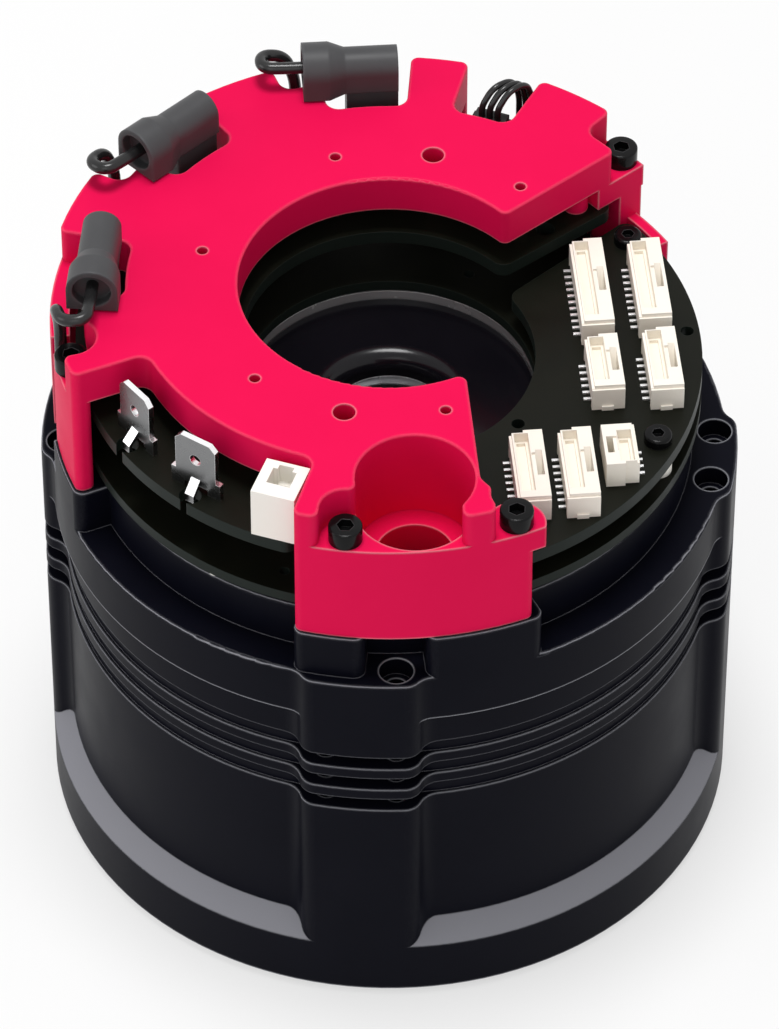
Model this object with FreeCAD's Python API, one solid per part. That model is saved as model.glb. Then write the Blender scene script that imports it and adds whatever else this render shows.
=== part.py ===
import FreeCAD, Part
import math
import os
from FreeCAD import Vector

# Hollow-shaft robot joint actuator: a lobed motor housing with a strain-wave
# gear at the foot and a ring-shaped servo drive under a scalloped cover on top.
# Millimetres. +Z is the output axis pointing from the output flange to the drive.
# +X runs through the middle of one housing lobe. z = 0 is the output flange face.

os.makedirs("parts", exist_ok=True)

# ---- overall sizes ----
body_r = 47.5              # base ring and lobe outer radius
foot = 1.0                 # the output flange stands this far proud of the housing
rim_h = 60.0               # housing ledge above the housing foot
pad_h = 7.2                # pads under the cover legs, above the ledge
cover_h = 21.65            # top of the cover above those pads
drive_turn = 10.0          # the drive and its cover are turned this much on the housing

# ---- clearances ----
fit_gap = 0.05             # screw or pin in its hole
seal_gap = 0.1             # lip seal round the part that turns in it
board_gap = 0.7            # board edge to cover leg

# ---- screws ----
screw_r = 1.25             # M2.5
screw_clear_r = 1.4
head_r = 2.25
head_h = 2.5
hex_across = 2.0
hex_depth = 1.3
head_pocket_r = 2.3
head_pocket_h = 2.9
small_screw_r = 1.0        # M2
small_clear_r = 1.1
small_depth = 7.0          # screw in the part it holds to
small_head_r = 1.9
small_head_h = 1.3
small_hex = 1.5
small_hex_depth = 0.7

# ---- housing ----
wall_r = body_r - 2.8      # body between the lobes, below the step
upper_r = body_r - 1.5     # body between the lobes, above the step
groove_r = wall_r - 0.5    # floor of the cooling grooves
neck_r = upper_r - 4.8     # inner wall that rises to the pad tops
neck_bore_r = neck_r - 1.8
motor_bore_r = neck_bore_r - 0.9
gear_bore_r = motor_bore_r - 1.5
retainer_r = gear_bore_r + 3.6
rim_z = foot + rim_h
pad_z = rim_z + pad_h
step_z = rim_z - 7.8       # step between the two body radii
ring_h = 8.4               # straight base ring
cone_h = 3.1               # cone from base ring to body
lobe_half_deg = 7.4        # half the straight part of a lobe
lobe_round = 2.5           # lobe corner
lobe_fillet = 3.0          # lobe root
lobe_angles = [90.0 * i for i in range(4)]
groove_w = 2.1
groove_pitch = 4.0
groove_z = rim_z - 23.9    # underside of the lowest groove
groove_count = 3
lip_round = 0.2            # edges of the grooves
rim_round = 0.35           # edges of the ledge and of the pads
lobe_hole_r = body_r - 3.1     # circle of the lobe screw holes
lobe_hole_deg = 6.05       # each side of the lobe middle
blind_depth = 7.0          # from the ledge down to the end of a blind lobe hole
pad_corner = 1.5

# ---- levels of the inner parts, from z = 0 ----
retainer_t = 1.4
race_h = 9.0
race_z = foot + retainer_t
web_z = 28.0
web_t = 3.0
stator_z = web_z + web_t + 3.0
stator_h = 19.0
shield_z = stator_z + stator_h + 2.5
shield_t = 3.0
snap_t = 1.2               # snap ring over the shield
snap_w = 1.6
snap_depth = 0.8
bearing_h = 6.0
upper_bearing_z = shield_z + 0.8
lower_bearing_z = web_z + web_t

# ---- gear ----
hub_r = 24.0
race_gap = 0.6
race_mid_r = 30.5
roller_d = 4.0
roller_count = 24
flange_r = 30.6
flange_bolt_r = 20.0
flange_bolt_hole_r = 1.65
flange_bolt_count = 8
tube_bore_r = 6.8
tube_r = 7.6
spline_in_r = 26.75
cup_r = 26.0
cup_wall = 0.5
tooth_band_r = 26.6
boss_r = 19.0
boss_t = 2.5
wave_major_r = 25.35
wave_minor_r = 24.85
wave_race_t = 4.3
wave_h = 6.0
wave_drop = 1.5            # boss of the wave generator and shaft end below its bearing
cup_top = race_z + race_h + boss_t + small_head_h      # heads of the screws in the cup's floor
wave_z = cup_top + 12 / 17 * (web_z - wave_h - cup_top)
spline_z = wave_z - wave_drop
wave_boss_r = 13.0
cup_screw_circle_r = 14.5
spline_screw_circle_r = (tooth_band_r + gear_bore_r) / 2
retainer_screw_circle_r = retainer_r - small_head_r - 0.1

# ---- motor ----
shaft_r = 10.0
shaft_bore_r = 8.3
spider_z = 43.0            # disc of the shaft that carries the rotor
spider_t = 3.0
clip_groove_r = 9.5        # retaining ring on the shaft
clip_out_r = 11.9
clip_t = 0.9
bearing_r = 16.0
bearing_wall = 2.5         # housing wall round a bearing
seal_r = 13.5
bearing_split_r = 13.0
bearing_split_gap = 0.4
air_gap = 0.6
magnet_out_r = motor_bore_r - 9.5
magnet_in_r = magnet_out_r - 2.0
yoke_in_r = magnet_in_r - 2.5
magnet_count = 14
slot_count = 12
tooth_w = 6.0
back_iron = 3.0
coil_w = 1.1
coil_over = 1.8            # coil beyond each end of the stator
glue_gap = 0.05            # magnets on the yoke

# ---- drive levels ----
plate_t = 5.65
cover_top = pad_z + cover_h
plate_z = cover_top - plate_t
low_board_t = 1.6
low_board_top = pad_z + 3.1
board_t = 2.0
high_board_top = plate_z - 3.6
mid_board_top = low_board_top + 0.56 * (high_board_top - low_board_top)

# ---- encoder hub ----
dish_r = 20.2
dish_top_z = low_board_top - 3.5
dish_t = 3.0
dish_round = 2.6           # soft edge into the bore
ring_top_z = low_board_top - 2.2
ring_out_r = 23.0
hub_skirt = 1.5            # skirt of the hub over the shaft end
shaft_top = dish_top_z - dish_t - 0.5
tube_top_z = dish_top_z - 5.5

# ---- cover ----
cover_r = upper_r - 0.45
board_r = cover_r - 3.35
board_hole_r = 19.7
leg_in_r = board_r + board_gap
cover_hole_r = 20.3
notch_r = cover_r - 10.25  # floor of the notches over the terminal boots
lead_floor_r = cover_r - 4.55      # floor of the notch where a phase lead goes down
leg_round = 1.1            # outer corners of the outline
notch_round = 1.9          # inner corners of the outline
edge_round = 0.3           # upper edges
leg_left_x = 16.47         # ends of the front leg, from the middle of its pocket
leg_right_x = 15.28
front_leg = (-90 - math.degrees(math.asin(leg_left_x / cover_r)),
             -90 + math.degrees(math.asin(leg_right_x / cover_r)))
left_leg_end = 198.6
plug_notch = (57.6, 70.9)          # notch over the sensor plug
boot_notch = (-8.0, 9.4)           # notch over a terminal boot, from the boot's direction
lead_notch = (8.4, 16.6)           # notch where its lead goes down
back_legs = [(70.9, 80.8), (106.0, 121.4), (146.6, left_leg_end)]
back_edge_deg = 35.0       # straight back edge of the open side
column_end_deg = 42.6      # column under that edge
column_in_r = cover_r - 4.2
recess_r = cover_r - 5.4   # screw recess over that column
recess_end_deg = 43.2
rib_long = 4.0             # rib from that column to the nearest boss
rib_end_deg = 38.6
low_foot_deg = 25.6        # low foot beside the column
low_foot_h = 7.8
low_foot_r = cover_r - 1.1
pocket_y = 8.2 - cover_r   # cable pocket in the front leg
pocket_r = 7.83
pocket_hole_r = 5.05
pocket_floor_z = pad_z + 7.8
pocket_wall = 1.2
pocket_mouth_x = 5.6       # right end of the lowered front wall of the pocket
pocket_mouth_y = pocket_y - 4.1    # back of that lowered wall
leg_side_x = 8.45          # straight right side of the front leg
horn_x = 9.9
horn_y = pocket_y - 3.0
shelf_x = 12.4             # left end of the front leg's screw shelf
scallop_r = 3.4            # recess round a cover screw
seat_r = 3.9               # thick seat under a cover screw
front_screw_r = cover_r - 2.35
left_screw_x = 9.5         # front screws, from the middle of the pocket
right_screw_x = 12.92
cover_screws = [           # front left, front right, left, back right
    (front_screw_r, -90 - math.degrees(math.asin(left_screw_x / front_screw_r))),
    (front_screw_r, -90 + math.degrees(math.asin(right_screw_x / front_screw_r))),
    (cover_r - 1.95, -170.9), (cover_r - 1.65, 38.6)]
cover_screw_length = 20.0
hole_circle_r = 25.8
small_hole_r = 0.75
large_hole_r = 1.5
small_holes = [41.5, 101.5, 161.5, 221.5, 281.5]
large_holes = [71.6, 251.6]
boss_screw_r = 1.7
cover_bosses = [
    (board_r - 6.6, 39.2), (board_r - 10.2, 101.0), (board_r - 10.2, 161.0), (board_r - 12.2, 225.0)]
pads = [                   # front, left and back; the lobe screws stand in the gaps
    (front_leg[0] + drive_turn - 0.2, -89.2), (-78.9, front_leg[1] + drive_turn + 1.8),
    (168.8, 180.8), (191.4, 209.4), (33.0, 90.6), (101.4, 160.5)]

# ---- board posts and screws, degrees on the drive ----
board_post_r = board_r - 2.7
post_r = 2.0
mid_posts = [29.1, -30.3]
high_posts = [75.0, 140.0, 172.0]
low_posts = [5.0, 62.0, 118.0, 175.0, 230.0, 318.0]
low_post_r = 0.85
board_head_r = 1.9
board_head_h = 1.5
board_corner = 1.8
column_gap = 1.9           # board edge to that column
high_edge = (34.1, 33.0)   # straight edge of the upper board: where it meets the hole, and its direction
mid_edge = (30.1, 37.5)    # the same for the connector board

# ---- connectors ----
pin_pitch = 1.25
shell_w = 4.45
shell_h = 4.15
shell_end = 2.05           # shell beyond the last pin
shell_slot_h = 1.5         # depth of the mating recess
connectors = [             # name, pins, middle across, middle along, pins face -X
    ("connector_11_pin", 11, 28.2, 7.6, True),
    ("connector_10_pin", 10, 36.05, 7.6, True),
    ("connector_6_pin", 6, 28.2, -8.2, True),
    ("connector_7_pin", 7, 36.05, -8.2, True),
    ("connector_8_pin_inner", 8, 16.2, -27.0, True),
    ("connector_8_pin_outer", 8, 22.7, -27.0, True),
    ("connector_4_pin", 4, 28.5, -24.1, False)]

# ---- power terminals ----
tab_w = 6.35
tab_t = 0.8
tab_h = 9.0
tab_shoulder_h = 2.6
tongue_reach = 2.0         # bent foot of a supply tab
tongue_hole_r = 1.5        # hole in the board under it
supply_tabs = [(board_r - 3.1, -135.2, -129.0), (board_r - 3.0, -153.2, -146.9)]
boot_r = board_r - 3.3     # axis of a boot from the centre line
boots = [(89.1, boot_r + 0.9), (129.7, boot_r + 0.7), (170.3, boot_r)]  # outward direction and axis
boot_z = cover_top + 3.55
boot_w = 6.9
boot_h = 6.7
boot_mouth_r = 2.6
boot_wide = 3.6
boot_taper = 2.2
boot_long = 13.1
boot_start = 9.1                       # mouth, measured along the boot from its tab
boot_tube_r = 2.6
tab_side = -0.7                        # tab middle, measured the same way

# ---- leads ----
lead_r = 0.85
lead_side = 9.9
lead_out = boot_r + 4.3
lead_slot_w = 3.2
lead_hole_r = neck_bore_r - 3.9        # circle of the lead holes in the bearing shield
sensor_lead_r = 0.45
sensor_plug_deg = 64.0
sensor_plug_r = board_r - 3.6
sensor_plug_z = cover_top - 3.05       # top of the plug
sensor_drop_deg = 59.7
sensor_drop_r = cover_r - 1.35
sensor_pitch = 1.15
sensor_offsets = [-sensor_pitch, 0.0, sensor_pitch]


def save(name, shape):
    shape.exportStep("parts/" + name + ".step")
    print(name, len(shape.Solids), round(shape.Volume, 1))


def polar(r, deg, z=0.0):
    a = math.radians(deg)
    return Vector(r * math.cos(a), r * math.sin(a), z)


def turned(shape, deg):
    copy = shape.copy()
    copy.rotate(Vector(0, 0, 0), Vector(0, 0, 1), deg)
    return copy


def on_drive(shape):
    return turned(shape, drive_turn)


def moved(shape, x, y, z):
    copy = shape.copy()
    copy.translate(Vector(x, y, z))
    return copy


def disc(r, z0, z1, x=0.0, y=0.0):
    return Part.makeCylinder(r, z1 - z0, Vector(x, y, z0))


def ring(r_in, r_out, z0, z1):
    return disc(r_out, z0, z1).cut(disc(r_in, z0 - 1, z1 + 1))


def box(x0, x1, y0, y1, z0, z1):
    return Part.makeBox(x1 - x0, y1 - y0, z1 - z0, Vector(x0, y0, z0))


def revolve(points):
    wire = Part.makePolygon([Vector(r, 0, z) for r, z in points + points[:1]])
    return Part.Face(wire).revolve(Vector(0, 0, 0), Vector(0, 0, 1), 360)


def slab(points, z0, z1):
    wire = Part.makePolygon([Vector(x, y, z0) for x, y in points + points[:1]])
    return Part.Face(wire).extrude(Vector(0, 0, z1 - z0))


def sector(r_in, r_out, deg0, deg1, z0, z1):
    mid = (deg0 + deg1) / 2
    outer = Part.Arc(polar(r_out, deg0, z0), polar(r_out, mid, z0), polar(r_out, deg1, z0)).toShape()
    inner = Part.Arc(polar(r_in, deg1, z0), polar(r_in, mid, z0), polar(r_in, deg0, z0)).toShape()
    side1 = Part.makeLine(polar(r_out, deg1, z0), polar(r_in, deg1, z0))
    side0 = Part.makeLine(polar(r_in, deg0, z0), polar(r_out, deg0, z0))
    face = Part.Face(Part.Wire([outer, side1, inner, side0]))
    return face.extrude(Vector(0, 0, z1 - z0))


def round_corners(shape, convex, concave):
    """Round the upright corners of a plate or leg: inner corners first, then outer ones."""
    inner = corner_edges(shape, True)
    if inner:
        shape = shape.makeFillet(concave, inner)
    return shape.makeFillet(convex, corner_edges(shape, False))


def corner_edges(shape, inner):
    """Upright edges at the inner or at the outer corners; edges in a smooth wall are left out."""
    found = []
    for edge in shape.Edges:
        if edge.BoundBox.XLength + edge.BoundBox.YLength > 0.001:
            continue
        filled = wall_share(shape, edge.BoundBox.Center)
        if inner and filled > 0.56 or not inner and filled < 0.44:
            found.append(edge)
    return found


def wall_share(shape, middle):
    """Share of a small circle round an upright edge that lies in the material."""
    around = [middle + polar(0.1, 15 * i + 7) for i in range(24)]
    return sum(shape.isInside(point, 0.0001, False) for point in around) / 24


def soft_sector(r_in, r_out, deg0, deg1, z0, z1, corner):
    return round_corners(sector(r_in, r_out, deg0, deg1, z0, z1), corner, corner)


def level_edges(shape, z):
    return [e for e in shape.Edges if abs(e.BoundBox.ZMin - z) < 0.001 and abs(e.BoundBox.ZMax - z) < 0.001]


def soft_top(shape, z, radius):
    return shape.makeFillet(radius, level_edges(shape, z))


def fuse(shapes):
    return shapes[0].fuse(shapes[1:]).removeSplitter()


def group(shapes):
    return Part.makeCompound(shapes)


# ---- housing ----
def lobed_face(r_wall, z):
    """Outline with four lobes: wall arc, root fillet, corner round, lobe arc."""
    far = r_wall + lobe_fillet
    near = body_r - lobe_round
    reach = lobe_fillet + lobe_round
    cosine = (far * far + near * near - reach * reach) / (2 * far * near)
    spread = math.degrees(math.acos(cosine))
    edges = []
    for middle in lobe_angles:
        corner0, corner1 = middle - lobe_half_deg, middle + lobe_half_deg
        root0, root1 = corner0 - spread, corner1 + spread
        next_root = middle + 90 - lobe_half_deg - spread
        a = swing(root0, corner0, far, near, r_wall, z)
        b = swing(root1, corner1, far, near, r_wall, z)
        lobe = Part.Arc(polar(body_r, corner0, z), polar(body_r, middle, z), polar(body_r, corner1, z))
        wall_mid = (root1 + next_root) / 2
        wall = Part.Arc(polar(r_wall, root1, z), polar(r_wall, wall_mid, z), polar(r_wall, next_root, z))
        edges += a + [lobe.toShape()] + b[::-1] + [wall.toShape()]
    return Part.Face(Part.Wire(Part.__sortEdges__(edges)))


def swing(root_deg, corner_deg, far, near, r_wall, z):
    root = polar(far, root_deg, z)
    corner = polar(near, corner_deg, z)
    touch = root + (corner - root) * (lobe_fillet / (lobe_fillet + lobe_round))
    start = polar(r_wall, root_deg, z)
    end = polar(body_r, corner_deg, z)
    fillet = Part.Arc(start, arc_middle(root, start, touch), touch)
    bend = Part.Arc(touch, arc_middle(corner, touch, end), end)
    return [fillet.toShape(), bend.toShape()]


def arc_middle(centre, a, b):
    radius = (a - centre).Length
    direction = (a - centre) + (b - centre)
    direction.normalize()
    return centre + direction * radius


def lobed(r_wall, z0, z1):
    return lobed_face(r_wall, z0).extrude(Vector(0, 0, z1 - z0))


def groove_band(r_wall, z0, z1):
    """Length of lobed wall with soft edges."""
    band = lobed(r_wall, z0, z1)
    return band.makeFillet(lip_round, level_edges(band, z0) + level_edges(band, z1))


def make_outer_wall():
    ring_z = foot + ring_h
    cone = Part.makeCone(body_r, wall_r, cone_h, Vector(0, 0, ring_z))
    lower = lobed(wall_r, ring_z, groove_z)
    upper = lobed(upper_r, step_z, rim_z)
    pieces = [
        disc(body_r, foot, ring_z),
        cone,
        disc(groove_r, ring_z, rim_z - 1),
        lower.makeFillet(lip_round, level_edges(lower, groove_z)),
        upper.makeFillet(rim_round, level_edges(upper, rim_z))]
    z = groove_z
    for i in range(groove_count - 1):
        pieces.append(groove_band(wall_r, z + groove_w, z + groove_pitch))
        z += groove_pitch
    last = lobed(wall_r, z + groove_w, step_z)
    pieces.append(last.makeFillet(lip_round, level_edges(last, z + groove_w)))
    return pieces


def make_pads():
    neck = soft_top(disc(neck_r, rim_z - 1, pad_z), pad_z, rim_round)
    shapes = [neck]
    for deg0, deg1 in pads:
        pad = soft_sector(neck_bore_r - 2, upper_r, deg0, deg1, rim_z - 1, pad_z, pad_corner)
        shapes.append(soft_top(pad, pad_z, rim_round))
    return shapes


def under_pad(deg):
    return any(deg0 < deg - turn < deg1 for deg0, deg1 in pads for turn in (0, 360))


def lobe_screw_cuts():
    """Screw holes in the lobes: from the ledge down, or blind from below where a pad covers them."""
    cuts = []
    for middle in lobe_angles:
        for deg in (middle - lobe_hole_deg, middle + lobe_hole_deg):
            p = polar(lobe_hole_r, deg)
            if under_pad(deg):
                cuts.append(disc(screw_clear_r, foot - 1, rim_z - blind_depth, p.x, p.y))
            else:
                cuts.append(disc(screw_clear_r, foot - 1, rim_z + 1, p.x, p.y))
                cuts.append(disc(head_pocket_r, rim_z - head_pocket_h, pad_z + 1, p.x, p.y))
    return cuts


def inner_cuts():
    low_z = foot - 1
    snap_z = shield_z + shield_t
    tower_r = bearing_r + bearing_wall
    tower_z = lower_bearing_z + bearing_h + 0.5
    return [
        disc(retainer_r, low_z, race_z),
        disc(gear_bore_r, low_z, web_z),
        disc(seal_r, web_z - 1, lower_bearing_z),
        disc(bearing_r, lower_bearing_z, shield_z),
        ring(tower_r, motor_bore_r, lower_bearing_z, shield_z),
        disc(tower_r + 1, tower_z, shield_z),
        disc(neck_bore_r, shield_z, pad_z + 1),
        disc(neck_bore_r + snap_depth, snap_z, snap_z + snap_t)]


def make_housing():
    shape = fuse(make_outer_wall() + make_pads())
    for tool in inner_cuts():
        shape = shape.cut(tool)
    cuts = lobe_screw_cuts()
    for p in cover_screw_places():
        cuts.append(disc(screw_r, plate_z - cover_screw_length - 1, pad_z + 1, p.x, p.y))
    cuts += [disc(small_screw_r, web_z - 1, web_z + web_t - 0.6, p.x, p.y) for p in spline_screw_places()]
    cuts += [disc(small_screw_r, race_z - 1, race_z + 5.5, p.x, p.y) for p in retainer_screw_places()]
    for deg in lead_angles():
        slot = box(neck_bore_r - 4, body_r + 2, -lead_slot_w / 2, lead_slot_w / 2, rim_z + 1.2, pad_z + 1)
        cuts.append(turned(slot, deg))
    return shape.cut(cuts)


def cover_screw_places():
    """Cover screws on the model frame."""
    return [polar(r, deg + drive_turn) for r, deg in cover_screws]


def lead_angles():
    """Model-frame angles at which the leads and the sensor wires go down."""
    return [a + lead_drop_deg() + drive_turn for a, axis_r in boots] + [sensor_drop_deg + drive_turn]


def lead_drop_deg():
    return math.degrees(math.atan2(lead_side, lead_out))


def hexagon(across):
    r = across / math.sqrt(3)
    return [(r * math.cos(math.radians(60 * i)), r * math.sin(math.radians(60 * i))) for i in range(6)]


def socket_screw(p, z, length):
    """Head seat at z, shank downwards."""
    head = disc(head_r, z, z + head_h)
    rims = [e for e in head.Edges if len(e.Vertexes) == 1 and e.Vertexes[0].Z > z + 1]
    head = head.makeChamfer(0.2, rims)
    head = head.cut(slab(hexagon(hex_across), z + head_h - hex_depth, z + head_h + 1))
    shank = disc(screw_r - fit_gap, z - length, z)
    return moved(head.fuse(shank).removeSplitter(), p.x, p.y, 0)


# ---- cover ----
def notch_spans():
    """Notches in the rim of the cover: start, end (degrees on the drive) and depth radius."""
    spans = [(plug_notch[0], plug_notch[1], notch_r)]
    for a, axis_r in boots:
        spans.append((a + boot_notch[0], a + boot_notch[1], notch_r))
        spans.append((a + lead_notch[0], a + lead_notch[1], lead_floor_r))
    return spans


def drive_screw_places():
    return [polar(r, deg) for r, deg in cover_screws]


def opening_tool(z0, z1):
    """The open side of the cover, from the straight back edge round to the front leg."""
    far = polar(80, back_edge_deg)
    points = [(0, 0), (far.x, far.y), (80, -60), (horn_x, -60), (horn_x, horn_y),
              (leg_side_x, horn_y + 2.2), (leg_side_x, -10), (0, -10)]
    return slab(points, z0, z1)


def make_plate():
    """Top plate: the outline is cut sharp, then its corners and upper edges are rounded."""
    low, high = plate_z, cover_top
    shape = fuse([
        ring(cover_hole_r, notch_r - 0.3, low, high),
        sector(notch_r - 3, cover_r, 30, left_leg_end, low, high),
        sector(notch_r - 3, cover_r, front_leg[0], front_leg[1], low, high)])
    tools = [sector(r, cover_r + 9, a, b, low - 1, high + 1) for a, b, r in notch_spans()]
    tools.append(opening_tool(low - 1, high + 1))
    tools.append(sector(recess_r, cover_r + 9, back_edge_deg - 5, recess_end_deg, low - 1, high + 1))
    tools.append(disc(pocket_r, low - 1, high + 1, 0, pocket_y))
    tools.append(box(-shelf_x, pocket_mouth_x, -cover_r - 5, pocket_mouth_y, low - 1, high + 1))
    for p in drive_screw_places()[:3]:
        tools.append(disc(scallop_r, low - 1, high + 1, p.x, p.y))
        outward = math.degrees(math.atan2(p.y, p.x))
        way_out = turned(box(0, 9, -scallop_r, scallop_r, low - 1, high + 1), outward)
        tools.append(moved(way_out, p.x, p.y, 0))
    shape = shape.cut(tools).removeSplitter()
    plate = max(shape.Solids, key=lambda s: s.Volume)
    return soft_top(round_corners(plate, leg_round, notch_round), high, edge_round)


def make_legs():
    low, high = pad_z, plate_z
    spans = [(back_edge_deg, plug_notch[0]), front_leg] + back_legs
    legs = [soft_sector(leg_in_r, cover_r, deg0, deg1, low, high, leg_round) for deg0, deg1 in spans]
    foot_top = pad_z + low_foot_h
    legs.append(sector(leg_in_r, low_foot_r, low_foot_deg, back_edge_deg + 2, low, foot_top))
    legs.append(sector(column_in_r, cover_r - 0.3, back_edge_deg, column_end_deg, low, high))
    return legs


def make_pocket_wall():
    """Wall round the cable pocket, inside the front leg."""
    wall_x = pocket_r + pocket_wall
    tube = disc(wall_x, pad_z, plate_z, 0, pocket_y)
    cheek = box(-wall_x, wall_x, pocket_y - 7, pocket_y, pad_z, plate_z)
    inside = disc(cover_r, pad_z, plate_z)
    return [tube.common(inside), cheek.common(inside)]


def make_screw_seats():
    """Thick seats under the cover screws, on the upper board's level."""
    inside = disc(cover_r, high_board_top, plate_z)
    open_side = opening_tool(high_board_top - 1, plate_z + 1)
    seats = [disc(seat_r, high_board_top, plate_z, p.x, p.y).common(inside) for p in drive_screw_places()]
    seats[3] = seats[3].cut(open_side)
    rib = sector(column_in_r - rib_long, column_in_r + 1, back_edge_deg, rib_end_deg, high_board_top, plate_z)
    return seats + [rib]


def make_cover():
    shape = fuse([make_plate()] + make_legs() + make_pocket_wall() + make_screw_seats() + make_cover_bosses())
    tools = [disc(pocket_r, pocket_floor_z, plate_z + 0.01, 0, pocket_y),
             disc(pocket_hole_r, pad_z - 1, plate_z, 0, pocket_y)]
    for p in drive_screw_places():
        tools.append(disc(screw_clear_r, pad_z - 1, plate_z + 1, p.x, p.y))
        tools.append(disc(head_r + 0.4, plate_z, cover_top + 1, p.x, p.y))
    for a, axis_r in boots:
        slot = box(lead_floor_r, cover_r + 3, -lead_slot_w / 2, lead_slot_w / 2, pad_z - 1, plate_z)
        tools.append(turned(slot, a + lead_drop_deg()))
    for r, angles in ((small_hole_r, small_holes), (large_hole_r, large_holes)):
        for deg in angles:
            p = polar(hole_circle_r, deg)
            tools.append(disc(r, plate_z - 1, cover_top + 1, p.x, p.y))
    return shape.cut(tools).removeSplitter()


def make_cover_bosses():
    """Round bosses that hold the upper board down."""
    places = [polar(r, deg) for r, deg in cover_bosses]
    return [disc(boss_screw_r, high_board_top, plate_z, p.x, p.y) for p in places]


# ---- boards ----
def screw_notches(z0, z1):
    return [disc(screw_clear_r + 0.3, z0 - 1, z1 + 1, p.x, p.y) for p in drive_screw_places()]


def soft_board(shape, tools):
    """Board cut to its outline, with its corners rounded."""
    return round_corners(shape.cut(tools), board_corner, board_corner)


def make_high_board():
    z0, z1 = high_board_top - board_t, high_board_top
    shape = sector(board_hole_r, board_r, low_foot_deg, front_leg[0] + 359, z0, z1)
    corner = polar(board_hole_r, high_edge[0])
    far = corner + polar(80, high_edge[1])
    edge = slab([(0, 0), (corner.x, corner.y), (far.x, far.y), (80, 0)], z0 - 1, z1 + 1)
    column = sector(column_in_r - column_gap, board_r + 5, low_foot_deg, column_end_deg + 1.2, z0 - 1, z1 + 1)
    board = soft_board(shape, [edge, column])
    holes = [disc(1.3, z0 - 1, z1 + 1, p.x, p.y) for p in [polar(29.4, 38.6)]]
    for p, way in tongue_places():
        holes.append(disc(tongue_hole_r, z0 - 1, z1 + 1, p.x + 1.7 * way.x, p.y + 1.7 * way.y))
    return board.cut(holes + screw_notches(z0, z1))


def make_mid_board():
    z0, z1 = mid_board_top - board_t, mid_board_top
    shape = sector(board_hole_r, board_r, -89, 50, z0, z1)
    corner = polar(board_hole_r, mid_edge[0])
    far = corner + polar(80, mid_edge[1])
    tools = [slab([(0, 0), (corner.x, corner.y), (far.x, far.y), (0, 80)], z0 - 1, z1 + 1),
             box(0, leg_side_x + 1.0, -60, 0, z0 - 1, z1 + 1)]
    board = soft_board(shape, tools)
    places = [polar(board_r - 1.7, 1.1), polar(21.9, -43.5)]
    holes = [disc(0.9, z0 - 1, z1 + 1, p.x, p.y) for p in places]
    return board.cut(holes + screw_notches(z0, z1))


def make_low_board():
    z0, z1 = low_board_top - low_board_t, low_board_top
    shape = ring(board_hole_r + 0.1, board_r, z0, z1)
    room = pocket_r + 1.9
    tools = [box(-room, room, -60, pocket_y + 6, z0 - 1, z1 + 1),
             disc(room, z0 - 1, z1 + 1, 0, pocket_y),
             sector(column_in_r - column_gap, board_r + 5, mid_edge[0] + 3, column_end_deg + 1.2,
                    z0 - 1, z1 + 1)]
    for p in [polar(board_r - 3.6, -116.1), polar(23.9, 57.5)]:
        tools.append(disc(0.7, z0 - 1, z1 + 1, p.x, p.y))
    return shape.cut(tools + screw_notches(z0, z1))


def make_board_spacers():
    posts = []
    for deg in mid_posts:
        p = polar(board_post_r, deg)
        posts.append(disc(post_r, low_board_top, mid_board_top - board_t, p.x, p.y))
    for deg in high_posts:
        p = polar(board_post_r - 1.5, deg)
        posts.append(disc(post_r, low_board_top, high_board_top - board_t, p.x, p.y))
    for deg in low_posts:
        p = polar((neck_r + neck_bore_r) / 2, deg)
        posts.append(disc(low_post_r, pad_z, low_board_top - low_board_t, p.x, p.y))
    return group(posts)


def board_screw(p, z):
    head = disc(board_head_r, z, z + board_head_h)
    rims = [e for e in head.Edges if len(e.Vertexes) == 1 and e.Vertexes[0].Z > z + 1]
    head = head.makeFillet(0.4, rims)
    return moved(head.cut(slab(hexagon(small_hex), z + 0.6, z + 2)), p.x, p.y, 0)


# ---- connectors ----
def make_shell(pins):
    """Upright header shell: mating recess on the pin side, latch window on the other."""
    half = (pins - 1) * pin_pitch / 2 + shell_end
    w = shell_w / 2
    top = shell_h
    reach = min(half - 1.2, 4.2)
    window_x = (w - 1.35, w - 0.45)
    shape = box(-w, w, -half, half, 0, top)
    recess = box(-w + 0.6, -w + 2.5, -half + 1.5, half - 0.6, top - shell_slot_h, top + 1)
    inner = box(-w + 0.95, -w + 2.15, -half + 1.9, half - 1.0, top - shell_slot_h - 0.5, top)
    latch = box(window_x[0] - 0.5, window_x[0] + 0.1, -reach / 2, reach / 2, top - 0.35, top + 1)
    window = box(window_x[0], window_x[1], -reach / 2, 0.1, -1, top + 1)
    corner = box(-w - 1, -w + 1.9, half - 0.45, half + 1, -1, top + 1)
    step = box(-w - 1, -w + 0.35, -half - 1, half + 1, top - 0.5, top + 1)
    front = box(-w - 1, w + 1, -half - 1, -half + 0.3, top - 0.6, top + 1)
    foot_cut = box(-w - 1, -w + 0.8, -half + 0.8, half - 0.8, -1, 0.9)
    ramp_side = [(0.1, top + 1), (0.1, 0.8), (reach * 0.62, top + 0.01), (reach * 0.62, top + 1)]
    wire = Part.makePolygon([Vector(window_x[0], y, z) for y, z in ramp_side + ramp_side[:1]])
    ramp = Part.Face(wire).extrude(Vector(window_x[1] - window_x[0], 0, 0))
    toe = box(-0.9, 0.7, -half - 0.25, -half + 0.1, 0, 0.7)
    shape = shape.cut([recess, inner, latch, window, corner, step, front, foot_cut, ramp])
    return shape.fuse(toe).removeSplitter()


def make_pins(pins):
    w = shell_w / 2
    first = -(pins - 1) * pin_pitch / 2
    return [box(-w - 0.9, -w + 0.8, first + i * pin_pitch - 0.2, first + i * pin_pitch + 0.2, 0.0, 0.3)
            for i in range(pins)]


def placed_on_board(shape, across, along, pins_left):
    copy = shape if pins_left else turned(shape, 180)
    return on_drive(moved(copy, across, along, mid_board_top))


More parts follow.
